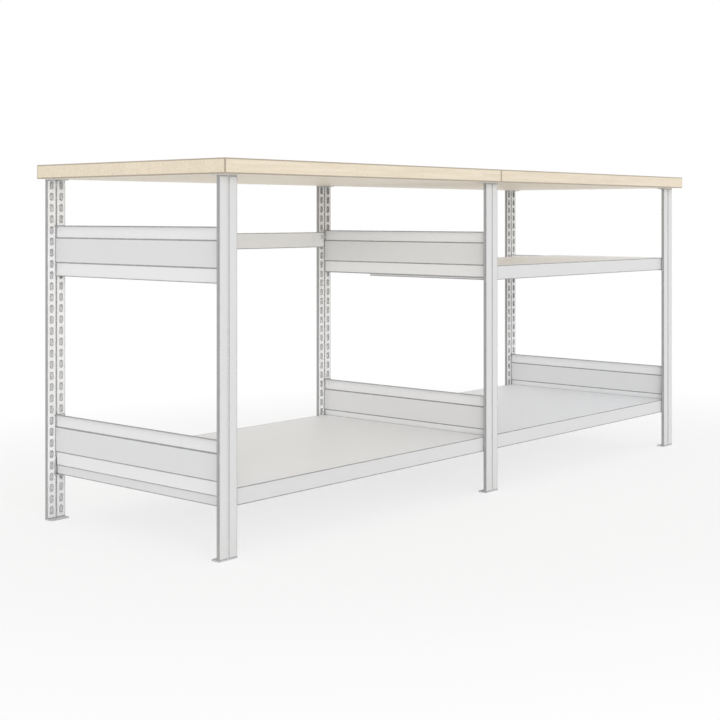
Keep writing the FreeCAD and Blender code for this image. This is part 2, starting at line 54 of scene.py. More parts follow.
POSTS = named("_post")
FOOT_PLATES = named("_foot_plate")
HEAD_PLATES = named("_head_plate")
PANELS = named("_panel")
STRIPS = named("_strips")
SHELVES = named("_shelf")
STIFFENERS = named("_stiffener")
RAILS = named("_rail")
WORKTOPS = named("_worktop")
CLIPS = named("_clips")
FASTENERS = named("_bolts", "_nuts", "_screws")

# Sizes of the sheet parts that their finishes follow, in metres.
POST_SHEET = 0.0015
GROOVE_MOUTH = 0.00225  # half the width of the groove down a post's outer face
LIP_SLIT = 0.0015  # half the slit between a post's two lips
PANEL_LOWER_BAND = 0.033
PANEL_FIELD = 0.065
PANEL_SWAGE = 0.003
SHELF_SHEET = 0.0012
STIFFENER_FOOT = 0.015
ON_FACE = 0.0004  # how close to a face still counts as that face

# How many times finer a dark edge line is than the one along a plain fold; below 1 it is wider.
# The dark lines are rubbing on outer corners and painted shade in grooves, slits and creases.
GROOVE_LINE = 2.0
SLIT_LINE = 2.5
FIELD_LINE = 1.3
PANEL_END_LINE = 0.9
DECK_REAR_LINE = 0.4
PLATE_LINE = 3.0


# ---------------------------------------------------------------- node expressions

# Places of a Mix node's sockets for colours; those for numbers and vectors share their names.
MIX_SHARE = 0
MIX_FIRST = 6
MIX_SECOND = 7
MIX_RESULT = 2


class Value:
    """One output in a node tree. Python operators on it add Math nodes."""

    def __init__(self, tree, socket):
        self.tree = tree
        self.socket = socket

    def __add__(self, other):
        return self.tree.math("ADD", self, other)

    def __radd__(self, other):
        return self.tree.math("ADD", other, self)

    def __sub__(self, other):
        return self.tree.math("SUBTRACT", self, other)

    def __rsub__(self, other):
        return self.tree.math("SUBTRACT", other, self)

    def __mul__(self, other):
        return self.tree.math("MULTIPLY", self, other)

    def __rmul__(self, other):
        return self.tree.math("MULTIPLY", other, self)

    def __truediv__(self, other):
        return self.tree.math("DIVIDE", self, other)

    def __rtruediv__(self, other):
        return self.tree.math("DIVIDE", other, self)

    def __abs__(self):
        return self.tree.math("ABSOLUTE", self)

    def at_least(self, other):
        return self.tree.math("MAXIMUM", self, other)

    def at_most(self, other):
        return self.tree.math("MINIMUM", self, other)

    def above(self, limit):
        return self.tree.math("GREATER_THAN", self, limit)

    def below(self, limit):
        return self.tree.math("LESS_THAN", self, limit)

    def wrapped(self, length):
        """The value within its repeat, from 0 to length."""
        return self.tree.math("WRAP", self, length, 0.0)

    def whole(self):
        return self.tree.math("FLOOR", self)

    def root(self):
        return self.tree.math("SQRT", self)

    def swing(self, amount):
        """A value from 0 to 1 turned into a change around 0, amount wide from end to end."""
        return (self - 0.5) * amount

    def fade(self, start, end):
        """0 at start, 1 at end, with a soft step between them."""
        settings = {"interpolation_type": "SMOOTHSTEP", "clamp": True}
        inputs = {
            "Value": self,
            "From Min": min(start, end),
            "From Max": max(start, end),
            "To Min": float(start > end),
            "To Max": float(start < end),
        }
        return self.tree.add("ShaderNodeMapRange", settings, inputs, "Result")


class Tree:
    """A node tree: node() makes any node, and add() gives one output of a new node."""

    def __init__(self, tree):
        self.tree = tree

    def node(self, kind, settings=None, inputs=None):
        node = self.tree.nodes.new(kind)
        for key, setting in (settings or {}).items():
            setattr(node, key, setting)
        for key, value in (inputs or {}).items():
            socket = node.inputs[key]
            if isinstance(value, Value):
                self.tree.links.new(value.socket, socket)
            elif socket.type == "RGBA" and len(value) == 3:
                socket.default_value = (*value, 1.0)
            else:
                socket.default_value = value
        return node

    def add(self, kind, settings=None, inputs=None, output=0):
        return Value(self, self.node(kind, settings, inputs).outputs[output])

    def math(self, operation, *values):
        return self.add("ShaderNodeMath", {"operation": operation}, dict(enumerate(values)))

    def vector(self, x, y, z):
        return self.add("ShaderNodeCombineXYZ", inputs={0: x, 1: y, 2: z})


class Shader(Tree):
    """The nodes of a material or world."""

    def __init__(self, owner):
        owner.use_nodes = True
        owner.node_tree.nodes.clear()
        super().__init__(owner.node_tree)
        self.owner = owner

    @classmethod
    def material(cls, name):
        return cls(bpy.data.materials.new(name))

    def place(self):
        return self.add("ShaderNodeTexCoord", output="Object")

    def parts(self, vector):
        node = self.node("ShaderNodeSeparateXYZ", inputs={0: vector})
        return [Value(self, output) for output in node.outputs]

    def noise(self, vector, scale, detail=2.0, roughness=0.5, distortion=0.0):
        inputs = {
            "Vector": vector,
            "Scale": scale,
            "Detail": detail,
            "Roughness": roughness,
            "Distortion": distortion,
        }
        return self.add("ShaderNodeTexNoise", {"noise_dimensions": "3D"}, inputs, "Fac")

    def cells(self, vector, scale, output="Distance"):
        inputs = {"Vector": vector, "Scale": scale}
        return self.add("ShaderNodeTexVoronoi", {"feature": "F1"}, inputs, output)

    def chance(self, value):
        """A fixed random number from 0 to 1 for each value."""
        settings = {"noise_dimensions": "1D"}
        return self.add("ShaderNodeTexWhiteNoise", settings, {"W": value}, "Value")

    def blend(self, share, first, second, mode="MIX"):
        """Mix of two colours; share is how much of the second shows."""
        settings = {"data_type": "RGBA", "blend_type": mode, "clamp_factor": True}
        inputs = {MIX_SHARE: share, MIX_FIRST: first, MIX_SECOND: second}
        return self.add("ShaderNodeMix", settings, inputs, MIX_RESULT)

    def tint(self, colour, amount):
        """The colour times a brightness that varies over the surface."""
        return self.blend(1.0, colour, self.vector(amount, amount, amount), "MULTIPLY")

    def bump(self, height, strength, distance):
        inputs = {"Height": height, "Strength": strength, "Distance": distance}
        return self.add("ShaderNodeBump", inputs=inputs, output="Normal")

    def surface(self, **sockets):
        """A Principled surface; underscores in a name stand for spaces."""
        inputs = {name.replace("_", " "): value for name, value in sockets.items()}
        return self.finish(self.add("ShaderNodeBsdfPrincipled", inputs=inputs))

    def finish(self, surface, kind="ShaderNodeOutputMaterial"):
        self.node(kind, inputs={"Surface": surface})
        return self.owner


def fold_distance(place, box):
    """Distance from a place, given as x, y and z, to the nearest edge of a box-shaped piece.

    It is the middle one of the distances to the faces across each axis.
    """
    gaps = []
    for value, low, high in zip(place, *box):
        middle = (low + high) / 2
        half = (high - low) / 2
        gaps.append(abs(half - abs(value - middle)))
    first, second, third = gaps
    return first.at_most(second).at_least(first.at_least(second).at_most(third))


# ---------------------------------------------------------------- powder coat

# Noise, in repeats per metre.
COAT_CLOUD = 3.2
COAT_MOTTLE = 42.0
COAT_SKIN = 620.0
COAT_GRIT = 2400.0
SCUFF_STREAK = 6.0
SCUFF_STRETCH = (5.0, 5.0, 160.0)  # draws the streaks out level
SCUFF_PATCH = 9.0

# Changes of brightness and of roughness, from end to end.
CLOUD_SHADE = 0.035
MOTTLE_SHADE = 0.022
SKIN_SHADE = 0.03
CLOUD_SHEEN = 0.06
MOTTLE_SHEEN = 0.12
SCUFF_SHEEN = 0.12

# Where a mark begins and where it is full.
STREAK_RANGE = (0.68, 0.78)
PATCH_RANGE = (0.5, 0.72)
DUST_RANGE = (0.12, 0.0)  # height above the floor, in metres

DUST_MEAN = 0.65
DUST_SWING = 0.5
# The dark edge line is rubbing on outer corners and painted shade in grooves, slits and creases.
EDGE_LINE_RAGGED = 0.6  # unevenness of a rubbed line, as a share of its width
EDGE_LINE_CORE = 0.35  # its fully rubbed middle, as a share of its width
GRIT_SHARE = 0.25  # of the relief; the rest is skin
COAT_RELIEF = 0.00035  # in metres


def powder_coat(name, colour, settings, edges=None, fields=None, inside=None):
    """Fine-textured powder coat.

    edges(x, y, z) gives the distance to the nearest fold, where a dark line is painted: rubbing on
    outer corners, and painted shade in grooves, slits and creases.
    fields(x, y, z) gives faces with a colour of their own, as pairs of mask and colour: painted
    shade where darker, painted light where brighter.
    inside(x, y, z) gives a mask of the posts' inner side, whose bright colour is painted light
    against the shade inside the posts.
    """
    shader = Shader.material(name)
    place = shader.place()
    x, y, z = shader.parts(place)
    cloud = shader.noise(place, COAT_CLOUD, detail=3.0)
    mottle = shader.noise(place, COAT_MOTTLE, detail=4.0, roughness=0.6)
    skin = shader.noise(place, COAT_SKIN, roughness=0.55)
    grit = shader.noise(place, COAT_GRIT, detail=1.0)
    shade = cloud.swing(CLOUD_SHADE) + mottle.swing(MOTTLE_SHADE) + skin.swing(SKIN_SHADE) + 1.0
    coat = shader.tint(colour, shade)
    # Painted light and painted shade: faces given a brighter or darker copy of the coat.
    if fields:
        for mask, painted_shading_colour in fields(x, y, z):
            coat = shader.blend(mask, coat, shader.tint(painted_shading_colour, shade))
    # Dark lines along folds: rubbing on outer corners, painted shade in grooves, slits and
    # creases.
    if edges:
        ragged = edges(x, y, z) + mottle.swing(settings.edge_width * EDGE_LINE_RAGGED)
        rubbed = ragged.fade(settings.edge_width, settings.edge_width * EDGE_LINE_CORE)
        coat = shader.blend(rubbed * settings.edge_darkening, coat, settings.wear_and_shade_colour)
    stretched = [value * times for value, times in zip((x, y, z), SCUFF_STRETCH)]
    streaks = shader.noise(shader.vector(*stretched), SCUFF_STREAK).fade(*STREAK_RANGE)
    scuffs = streaks * shader.noise(place, SCUFF_PATCH).fade(*PATCH_RANGE)
    coat = shader.blend(scuffs * settings.scuffs, coat, settings.wear_and_shade_colour)
    dust = z.fade(*DUST_RANGE) * (mottle.swing(DUST_SWING) + DUST_MEAN)
    coat = shader.blend(dust * settings.floor_dust, coat, settings.dust_colour)
    # Painted light: the bright inner colour, against the shade inside.
    if inside:
        coat = shader.blend(inside(x, y, z), coat, settings.lit_inner_colour)
    sheen = mottle.swing(MOTTLE_SHEEN) + cloud.swing(CLOUD_SHEEN) + scuffs * SCUFF_SHEEN
    relief = skin * (1.0 - GRIT_SHARE) + grit * GRIT_SHARE
    return shader.surface(
        Base_Color=coat,
        Roughness=settings.roughness + sheen,
        Normal=shader.bump(relief, settings.texture, COAT_RELIEF),
        Specular_IOR_Level=0.4,
    )


def coat_node(node, colour, settings, **faces):
    """A powder coat of the node's own."""
    return powder_coat(f"powder_coat_{node}", colour, settings, **faces)


# ---------------------------------------------------------------- zinc

# Noise, in repeats per metre.
ZINC_GRAIN = 900.0
ZINC_CLOUD = 55.0
ZINC_MARKS = 380.0

# Changes of brightness and of roughness.
GRAIN_SHADE = 0.07
ZINC_CLOUD_SHADE = 0.12
ZINC_CLOUD_SHEEN = 0.2
DULL_SHEEN = 0.14

DULL_RANGE = (0.55, 0.72)  # where a handling mark begins and where it is full
DULL_SHARE = 0.35
MARKS_SHARE = 0.6  # of the relief; the rest is grain
ZINC_BUMP = 0.12
ZINC_RELIEF = 0.0002  # in metres


def zinc_plate(name, colour, dull_colour, roughness):
    """Bright zinc: small cloudy grains and light handling marks."""
    shader = Shader.material(name)
    place = shader.place()
    grain = shader.parts(shader.cells(place, ZINC_GRAIN, "Color"))[0]
    cloud = shader.noise(place, ZINC_CLOUD, detail=3.0)
    marks = shader.noise(place, ZINC_MARKS, detail=3.0, roughness=0.7)
    dull = marks.fade(*DULL_RANGE)
    shade = grain.swing(GRAIN_SHADE) + cloud.swing(ZINC_CLOUD_SHADE) + 1.0
    relief = marks * MARKS_SHARE + grain * (1.0 - MARKS_SHARE)
    return shader.surface(
        Base_Color=shader.blend(dull * DULL_SHARE, shader.tint(colour, shade), dull_colour),
        Metallic=1.0,
        Roughness=cloud.swing(ZINC_CLOUD_SHEEN) + dull * DULL_SHEEN + roughness,
        Normal=shader.bump(relief, ZINC_BUMP, ZINC_RELIEF),
    )


# ---------------------------------------------------------------- beech

# Repeats per metre along and across the staves, and the shift from one stave to the next.
WANDER_GRAIN = (1.3, 7.0, 9.0)
FIGURE_GRAIN = (1.1, 26.0, 23.0)
FIBRE_GRAIN = (7.0, 330.0, 11.0)
RAY_GRAIN = (60.0, 520.0, 3.0)

# Repeats of the noise within that.
WANDER_NOISE = 2.0
FIGURE_NOISE = 3.6
FIBRE_NOISE = 3.0
RAY_NOISE = 2.4

FIGURE_WANDER = 0.8  # how far the figure wanders across the stave
FIGURE_LIFT = 5.0  # its shift in height from one stave to the next
RING_REPEATS = (34.0, 95.0)  # per metre across and up the end of a board
RING_NOISE = 5.0
RING_SHIFT = 31.0
RING_LIFT = 7.0
PORE_CELLS = 1500.0  # per metre
LACQUER_CLOUD = 2.4  # per metre

# Where a mark begins and where it is full.
LATE_WOOD_RANGE = (0.3, 0.72)
FIBRE_RANGE = (0.35, 0.75)
RAY_RANGE = (0.62, 0.7)
RING_RANGE = (0.35, 0.65)
PORE_RANGE = (0.32, 0.12)
GLUE_RANGE = (0.0006, 0.0001)  # from a joint, in metres
END_RANGE = (0.0022, 0.0009)  # from a board's end, in metres
ARRIS_RANGE = (0.0042, 0.0018)  # from an edge, in metres

# How much of each mark shows.
FIBRE_SHARE = 0.3
RAY_SHARE = 0.32
PORE_SHARE = 0.3
END_SHARE = 0.55
UNDERSIDE_LIGHT_SHARE = 0.8
GLUE_SHARE = 0.4
ARRIS_SHARE = 0.9
ARRIS_SWING = 0.4

# What each adds to the roughness, and their mean sum.
CLOUD_ROUGHNESS = 0.14
FIBRE_ROUGHNESS = 0.08
RAY_ROUGHNESS = 0.12
MEAN_ROUGHNESS = 0.12

# What each adds to the relief.
FIBRE_RELIEF = 0.5
RAY_RELIEF = -0.5
GLUE_RELIEF = -0.8
BEECH_BUMP = 0.16
BEECH_RELIEF = 0.0004  # in metres


def beech_board(name, settings, box, outer_side):
    """Glued beech staves along the table.

    The outer end shows end grain, and the arrises are darkened by hands.
    """
    shader = Shader.material(name)
    place = shader.place()
    x, y, z = shader.parts(place)
    low, high = box

    # Each row of staves is shifted along the board, and each stave picks its own piece of wood.
    # The bare numbers only make these draws differ.
    row = (y / settings.stave_width).whole()
    shifted = x + shader.chance(row + 7.0) * settings.stave_length
    stave = (shifted / settings.stave_length).whole()
    pick = shader.chance(stave * 13.0 + row * 3.0 + 0.5)

    def drawn_out(grain, across=0.0, up=0.0):
        """Place drawn out along the staves and moved on from one stave to the next."""
        along_repeats, across_repeats, shift = grain
        return shader.vector(
            x * along_repeats + pick * shift,
            y * across_repeats + across,
            z * across_repeats + up,
        )

    wander = shader.noise(drawn_out(WANDER_GRAIN), WANDER_NOISE)
    bowed = drawn_out(FIGURE_GRAIN, across=wander * FIGURE_WANDER, up=pick * FIGURE_LIFT)
    figure = shader.noise(bowed, FIGURE_NOISE, detail=4.0, roughness=0.55, distortion=0.3)
    fibre = shader.noise(drawn_out(FIBRE_GRAIN), FIBRE_NOISE, detail=3.0, roughness=0.6)
    rays = shader.noise(drawn_out(RAY_GRAIN), RAY_NOISE, detail=1.0).fade(*RAY_RANGE)
    late_wood = figure.fade(*LATE_WOOD_RANGE)
    wood = shader.blend(late_wood, settings.light_colour, settings.dark_colour)
    wood = shader.blend(fibre.fade(*FIBRE_RANGE) * FIBRE_SHARE, wood, settings.dark_colour)
    wood = shader.blend(rays * RAY_SHARE, wood, settings.pore_colour)
    wood = shader.tint(wood, pick.swing(settings.stave_contrast) + 1.0)

    # The end of the board: rings and open pores.
    across_repeats, up_repeats = RING_REPEATS
    sawn = shader.vector(pick * RING_SHIFT, y * across_repeats, z * up_repeats + pick * RING_LIFT)
    rings = shader.noise(sawn, RING_NOISE, detail=3.0, roughness=0.6).fade(*RING_RANGE)
    pores = shader.cells(shader.vector(pick, y, z), PORE_CELLS).fade(*PORE_RANGE)
    end_grain = shader.blend(rings, settings.light_colour, settings.end_colour)
    end_grain = shader.blend(pores * PORE_SHARE, end_grain, settings.pore_colour)
    end_face = high.x if outer_side > 0 else low.x
    wood = shader.blend(abs(x - end_face).fade(*END_RANGE) * END_SHARE, wood, end_grain)

    # Painted light: the underside is paler, against the shade under the boards.
    under = abs(z - low.z).below(ON_FACE)
    wood = shader.blend(under * UNDERSIDE_LIGHT_SHARE, wood, settings.lit_underside_colour)

    def joints(along, spacing):
        """Glue lines across an axis, one at each whole spacing."""
        gap = spacing / 2 - abs(along.wrapped(spacing) - spacing / 2)
        return gap.fade(*GLUE_RANGE)

    glue = joints(y, settings.stave_width).at_least(joints(shifted, settings.stave_length))
    wood = shader.blend(glue * GLUE_SHARE, wood, settings.pore_colour)
    arris = fold_distance((x, y, z), box).fade(*ARRIS_RANGE)
    handled = arris * (fibre.swing(ARRIS_SWING) + ARRIS_SHARE)
    wood = shader.blend(handled * settings.edge_darkening, wood, settings.arris_colour)

    cloud = shader.noise(place, LACQUER_CLOUD, detail=3.0)
    sheen = cloud * CLOUD_ROUGHNESS + fibre * FIBRE_ROUGHNESS + rays * RAY_ROUGHNESS
    relief = fibre * FIBRE_RELIEF + rays * RAY_RELIEF + glue * GLUE_RELIEF
    return shader.surface(
        Base_Color=wood,
        Roughness=sheen + (settings.roughness - MEAN_ROUGHNESS),
        Normal=shader.bump(relief, BEECH_BUMP, BEECH_RELIEF),
        Specular_IOR_Level=0.35,
    )


# ---------------------------------------------------------------- dressing


def dress(nodes, material_for):
    """Give each CAD node its material; material_for(node) returns it."""
    for node in nodes:
        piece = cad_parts[node]
        material = material_for(node)
        if not piece.material_slots:
            piece.data.materials.append(material)
        for slot in piece.material_slots:
            slot.material = material


def box_edges(node, fineness=1.0):
    """Edge lines of a box-shaped piece; twice the fineness halves their width."""
    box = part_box(node)
    return lambda *place: fold_distance(place, box) * fineness


def lip_of(node):
    """Where a post's slotted lips lie: on the side that faces the table's middle."""
    low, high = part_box(node)
    return high.y if "front" in node else low.y


# ---------------------------------------------------------------- sizes and colours


def colour_setting(name, description, default):
    return bpy.props.FloatVectorProperty(
        name=name,
        description=description,
        subtype="COLOR",
        size=3,
        min=0.0,
        max=1.0,
        default=default,
    )


def length_setting(name, description, default, shortest, longest):
    return bpy.props.FloatProperty(
        name=name,
        description=description,
        subtype="DISTANCE",
        unit="LENGTH",
        min=shortest,
        max=longest,
        default=default,
    )


def share_setting(name, description, default, least=0.0, most=1.0):
    return bpy.props.FloatProperty(
        name=name,
        description=description,
        subtype="FACTOR",
        min=least,
        max=most,
        default=default,
    )


def strength_setting(name, description, default, most):
    return bpy.props.FloatProperty(
        name=name, description=description, min=0.0, max=most, default=default
    )


class SteelSettings(bpy.types.PropertyGroup):
    """Powder-coated steel"""

    post_colour: colour_setting(
        "Post colour",
        "Powder coat of the posts' closed faces and of the head plates",
        (0.735, 0.737, 0.74),
    )
    # Painted light: the slotted side is a brighter copy of the post coat, offsetting the shade
    # that falls on it.
    lit_lip_colour: colour_setting(
        "Post lip colour",
        "Powder coat of the slotted side of the posts, away from hands and knocks",
        (0.9, 0.9, 0.903),
    )
    # Painted shade: a darker copy of the coat on the posts' narrow sides and in their grooves,
    # standing for the shade there.
    painted_side_shade_colour: colour_setting(
        "Post side colour",
        "Thinner coat on the narrow sides of the posts and in their grooves",
        (0.4, 0.4, 0.403),
    )
    sheet_colour: colour_setting(
        "Panel colour",
        "Powder coat of the plain bands and end strips of the side panels",
        (0.825, 0.826, 0.83),
    )
    # Painted light: the decks, tie, rails and stiffeners are a brighter copy of the coat, against
    # the shade under the worktops.
    lit_deck_colour: colour_setting(
        "Deck colour",
        "Powder coat of the shelf decks, the tie, the rails and the stiffeners",
        (0.93, 0.935, 0.945),
    )
    # Painted shade: a darker copy of the coat for the panels' pressed fields and the shelves'
    # folded edges, standing for the shade on those faces.
    painted_shading_colour: colour_setting(
        "Field colour",
        "Powder coat of the panels' pressed fields, the shelves' folded edges and the weld spots",
        (0.735, 0.736, 0.74),
    )
    plate_colour: colour_setting(
        "Plate colour", "Powder coat of the foot plates", (0.62, 0.62, 0.625)
    )
    # Painted light: a bright colour inside the posts, against the shade that falls there.
    lit_inner_colour: colour_setting(
        "Post inside colour",
        "Unrubbed coat inside the posts, seen through the slots",
        (0.95, 0.95, 0.95),
    )
    # Wear and painted shade: the colour of scuffs and rubbed corners, and of the painted shade in
    # grooves, slits and creases.
    wear_and_shade_colour: colour_setting(
        "Worn colour", "Where the coat is rubbed thin along folds or scuffed", (0.24, 0.24, 0.243)
    )
    dust_colour: colour_setting("Dust colour", "Dust close to the floor", (0.55, 0.53, 0.5))
    roughness: share_setting("Roughness", "Mean roughness of the coat", 0.46, least=0.1)
    texture: share_setting("Texture", "Strength of the fine orange-peel texture", 0.2)
    # Dark lines along folds: rubbing on outer corners, painted shade in grooves, slits and
    # creases.
    edge_width: length_setting(
        "Edge width", "Width of the rubbed line along a fold", 0.0032, 0.0002, 0.01
    )
    edge_darkening: share_setting("Edge wear", "How strongly folds are rubbed", 0.82)
    scuffs: share_setting("Scuffs", "Light sliding marks", 0.12)
    floor_dust: share_setting("Floor dust", "Amount of dust close to the floor", 0.22)


class BeechSettings(bpy.types.PropertyGroup):
    """Lacquered beech worktops"""

    light_colour: colour_setting("Light beech", "Early wood", (0.87, 0.778, 0.63))
    dark_colour: colour_setting("Dark beech", "Late wood", (0.79, 0.685, 0.53))
    end_colour: colour_setting(
        "End grain", "Dark rings on the ends of the boards", (0.73, 0.62, 0.465)
    )
    # Painted light: a paler copy of the wood under the boards, against the shade that falls there.
    lit_underside_colour: colour_setting(
        "Underside", "Pale, unhandled wood under the boards", (0.96, 0.87, 0.71)
    )
    pore_colour: colour_setting(
        "Rays and glue lines",
        "Short dark rays and the lines between staves",
        (0.5, 0.37, 0.235),
    )
    arris_colour: colour_setting("Handled arris", "Edges darkened by hands", (0.3, 0.25, 0.19))
    stave_width: length_setting("Stave width", "Width of a glued stave", 0.046, 0.02, 0.2)
    stave_length: length_setting(
        "Stave length", "Length of a stave between butt joints", 0.52, 0.1, 2.0
    )
    stave_contrast: share_setting(
        "Stave contrast", "Difference in brightness from stave to stave", 0.07, most=0.5
    )
    edge_darkening: share_setting("Edge wear", "How strongly the arrises are darkened", 0.85)
    roughness: share_setting("Roughness", "Mean roughness of the lacquer", 0.44, least=0.1)


class ZincSettings(bpy.types.PropertyGroup):
    """Zinc-plated clips and fasteners"""

    fastener_colour: colour_setting(
        "Fastener colour", "Plating of bolts, nuts and screws", (0.78, 0.785, 0.795)
    )
    clip_colour: colour_setting("Clip colour", "Plating of the shelf clips", (0.74, 0.745, 0.75))
    dull_colour: colour_setting("Dull zinc", "Handling marks in the plating", (0.36, 0.36, 0.37))
    fastener_roughness: share_setting(
        "Fastener roughness", "Mean roughness of bolts, nuts and screws", 0.3
    )
    clip_roughness: share_setting("Clip roughness", "Mean roughness of the shelf clips", 0.42)


class RimSettings(bpy.types.PropertyGroup):
    """Pressed rims of the post slots"""

    slot_width: length_setting("Slot width", "Width of a slot", 0.011, 0.002, 0.03)
    slot_height: length_setting("Slot height", "Height of a slot", 0.02, 0.002, 0.05)
    corner: length_setting("Slot corner", "Corner radius of a slot", 0.004, 0.0005, 0.01)
    column: length_setting(
        "Column offset", "From the middle of a post to a slot column", 0.0145, 0.002, 0.03
    )
    pitch: length_setting("Slot pitch", "Height from one slot to the next", 0.0282, 0.01, 0.1)
    first: length_setting(
        "First slot", "Centre of the lowest slot above the post's lower end", 0.0205, 0.005, 0.2
    )
    rows: bpy.props.IntProperty(
        name="Slots in a column",
        description="Number of slots one above the other",
        min=1,
        max=200,
        default=30,
    )
    rim_width: length_setting(
        "Rim width", "Width of the pressed rim around a slot", 0.001, 0.0001, 0.004
    )
    rim_height: length_setting(
        "Rim height", "How far the pressed rim stands proud of the lip", 0.0003, 0.0001, 0.001
    )
    # Painted shade and wear: a darker coat on the rims, standing for the shade at the slot edges
    # and for rubbing by hooks and bolts.
    rim_shade_and_wear_colour: colour_setting(
        "Rim colour", "Coat of the rims, rubbed by hooks and bolts", (0.55, 0.55, 0.553)
    )


class WeldSettings(bpy.types.PropertyGroup):
    """Weld spots under the shelf decks"""

    diameter: length_setting("Spot diameter", "Diameter of a weld spot", 0.0052, 0.002, 0.02)
    pitch: length_setting(
        "Spot pitch", "Distance from one weld spot to the next", 0.06, 0.02, 0.3
    )
    height: length_setting(
        "Spot height", "How far a weld spot stands proud", 0.0004, 0.0001, 0.002
    )


class StageSettings(bpy.types.PropertyGroup):
    """Camera, floor and lamps"""

    lens: bpy.props.FloatProperty(
        name="Lens",
        description="Focal length on a 36 mm sensor",
        unit="CAMERA",
        min=10.0,
        max=300.0,
        default=68.01,
    )
    eye: bpy.props.FloatVectorProperty(
        name="Eye",
        description="Place of the camera",
        subtype="TRANSLATION",
        unit="LENGTH",
        size=3,
        default=(-3.0815, -2.5228, 0.7649),
    )
    heading: bpy.props.FloatProperty(
        name="Heading",
        description="Turn of the level camera from the table's depth towards its right end",
        subtype="ANGLE",
        unit="ROTATION",
        default=0.852,
    )
    rise: bpy.props.FloatProperty(
        name="Vertical shift",
        description="Vertical shift of the lens, as a share of the picture's width",
        min=-1.0,
        max=1.0,
        default=-0.2001,
    )
    sky: strength_setting(
        "Room light", "Strength of the even light from all around", 0.71, most=3.0
    )
    key: strength_setting(
        "Key light", "Strength of the soft high light from the front", 0.36, most=10.0
    )
    fill: strength_setting(
        "Fill light",
        "Strength of the soft low light that reaches in under the worktops",
        1.0,
        most=10.0,
    )
    floor_glow: share_setting(
        "Floor white",
        "Share of plain white in the floor beside the table, as seen by the camera",
        0.72,
    )


# ---------------------------------------------------------------- steel


class TABLE_OT_posts(bpy.types.Operator):
    """Powder coat on the six posts: rubbed lines along the corners, painted shade on the narrow
    sides, in the groove and at the slit, and painted light on the slotted side and inside
    """

    bl_idname = "table.posts"
    bl_label = "Coat posts"

    def execute(self, context):
        settings = context.scene.table_steel

        def material_for(node):
            low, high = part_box(node)
            middle = (low.x + high.x) / 2
            half = (high.x - low.x) / 2
            depth = high.y - low.y
            lip = lip_of(node)
            outer_face = low.y + high.y - lip

            # Dark lines: rubbing along the corners and ends, painted shade at the groove's mouth
            # and in the slit between the lips.
            def edges(x, y, z):
                across = abs(x - middle)
                from_face = abs(y - outer_face)
                from_lip = abs(y - lip)
                corner = (half - across).at_least(from_face.at_most(from_lip))
                mouth = (abs(across - GROOVE_MOUTH) * GROOVE_LINE).at_least(from_face - ON_FACE)
                slit = (abs(across - LIP_SLIT) * SLIT_LINE).at_least(from_lip - ON_FACE)
                ends = (z - low.z).at_most(high.z - z)
                return corner.at_most(mouth).at_most(slit).at_most(ends)

            # Painted shade on the narrow sides and in the groove; painted light on the slotted
            # lips.
            def fields(x, y, z):
                across = abs(x - middle)
                narrow = (half - across).below(ON_FACE)
                groove = across.below(GROOVE_MOUTH) * abs(y - outer_face).below(depth / 2)
                slotted = abs(y - lip).below(ON_FACE)
                return [
                    (narrow.at_least(groove), settings.painted_side_shade_colour),
                    (slotted, settings.lit_lip_colour),
                ]

            # Painted light inside the post, seen through the slots.
            def inside(x, y, z):
                reach = depth / 2 - POST_SHEET + ON_FACE
                deep = abs(y - (outer_face + lip) / 2).below(reach)
                return deep * (half - abs(x - middle)).above(POST_SHEET - ON_FACE)

            return coat_node(
                node, settings.post_colour, settings, edges=edges, fields=fields, inside=inside
            )

        dress(POSTS, material_for)
        return {"FINISHED"}


class TABLE_OT_plates(bpy.types.Operator):
    """Powder coat on the foot and head plates"""

    bl_idname = "table.plates"
    bl_label = "Coat plates"

    def execute(self, context):
        settings = context.scene.table_steel
        head_coat = powder_coat("powder_coat_head_plates", settings.post_colour, settings)

        def foot_coat(node):
            return coat_node(
                node, settings.plate_colour, settings, edges=box_edges(node, PLATE_LINE)
            )

        dress(HEAD_PLATES, lambda node: head_coat)
        dress(FOOT_PLATES, foot_coat)
        return {"FINISHED"}


class TABLE_OT_panels(bpy.types.Operator):
    """Powder coat on the side panels, with a pressed field between two plain bands, darkened as
    painted shade
    """

    bl_idname = "table.panels"
    bl_label = "Coat side panels"

    def execute(self, context):
        settings = context.scene.table_steel

        def panel_coat(node):
            low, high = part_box(node)
            field_low = low.z + PANEL_LOWER_BAND
            field_high = field_low + PANEL_FIELD
            folds = (field_low + PANEL_SWAGE / 2, field_high - PANEL_SWAGE / 2)

            # Dark lines: rubbing along the panel's edges and ends, painted shade in the creases
            # around the field.
            def edges(x, y, z):
                gap = (z - low.z).at_most(high.z - z)
                for fold in folds:
                    gap = gap.at_most(abs(z - fold) * FIELD_LINE)
                return gap.at_most((y - low.y).at_most(high.y - y) * PANEL_END_LINE)

            # Painted shade: the pressed field is darker than the plain bands.
            def fields(x, y, z):
                return [(z.above(field_low) * z.below(field_high), settings.painted_shading_colour)]

            return coat_node(node, settings.sheet_colour, settings, edges=edges, fields=fields)

        def strip_coat(node):
            return coat_node(node, settings.sheet_colour, settings, edges=box_edges(node))

        dress(PANELS, panel_coat)
        dress(STRIPS, strip_coat)
        return {"FINISHED"}


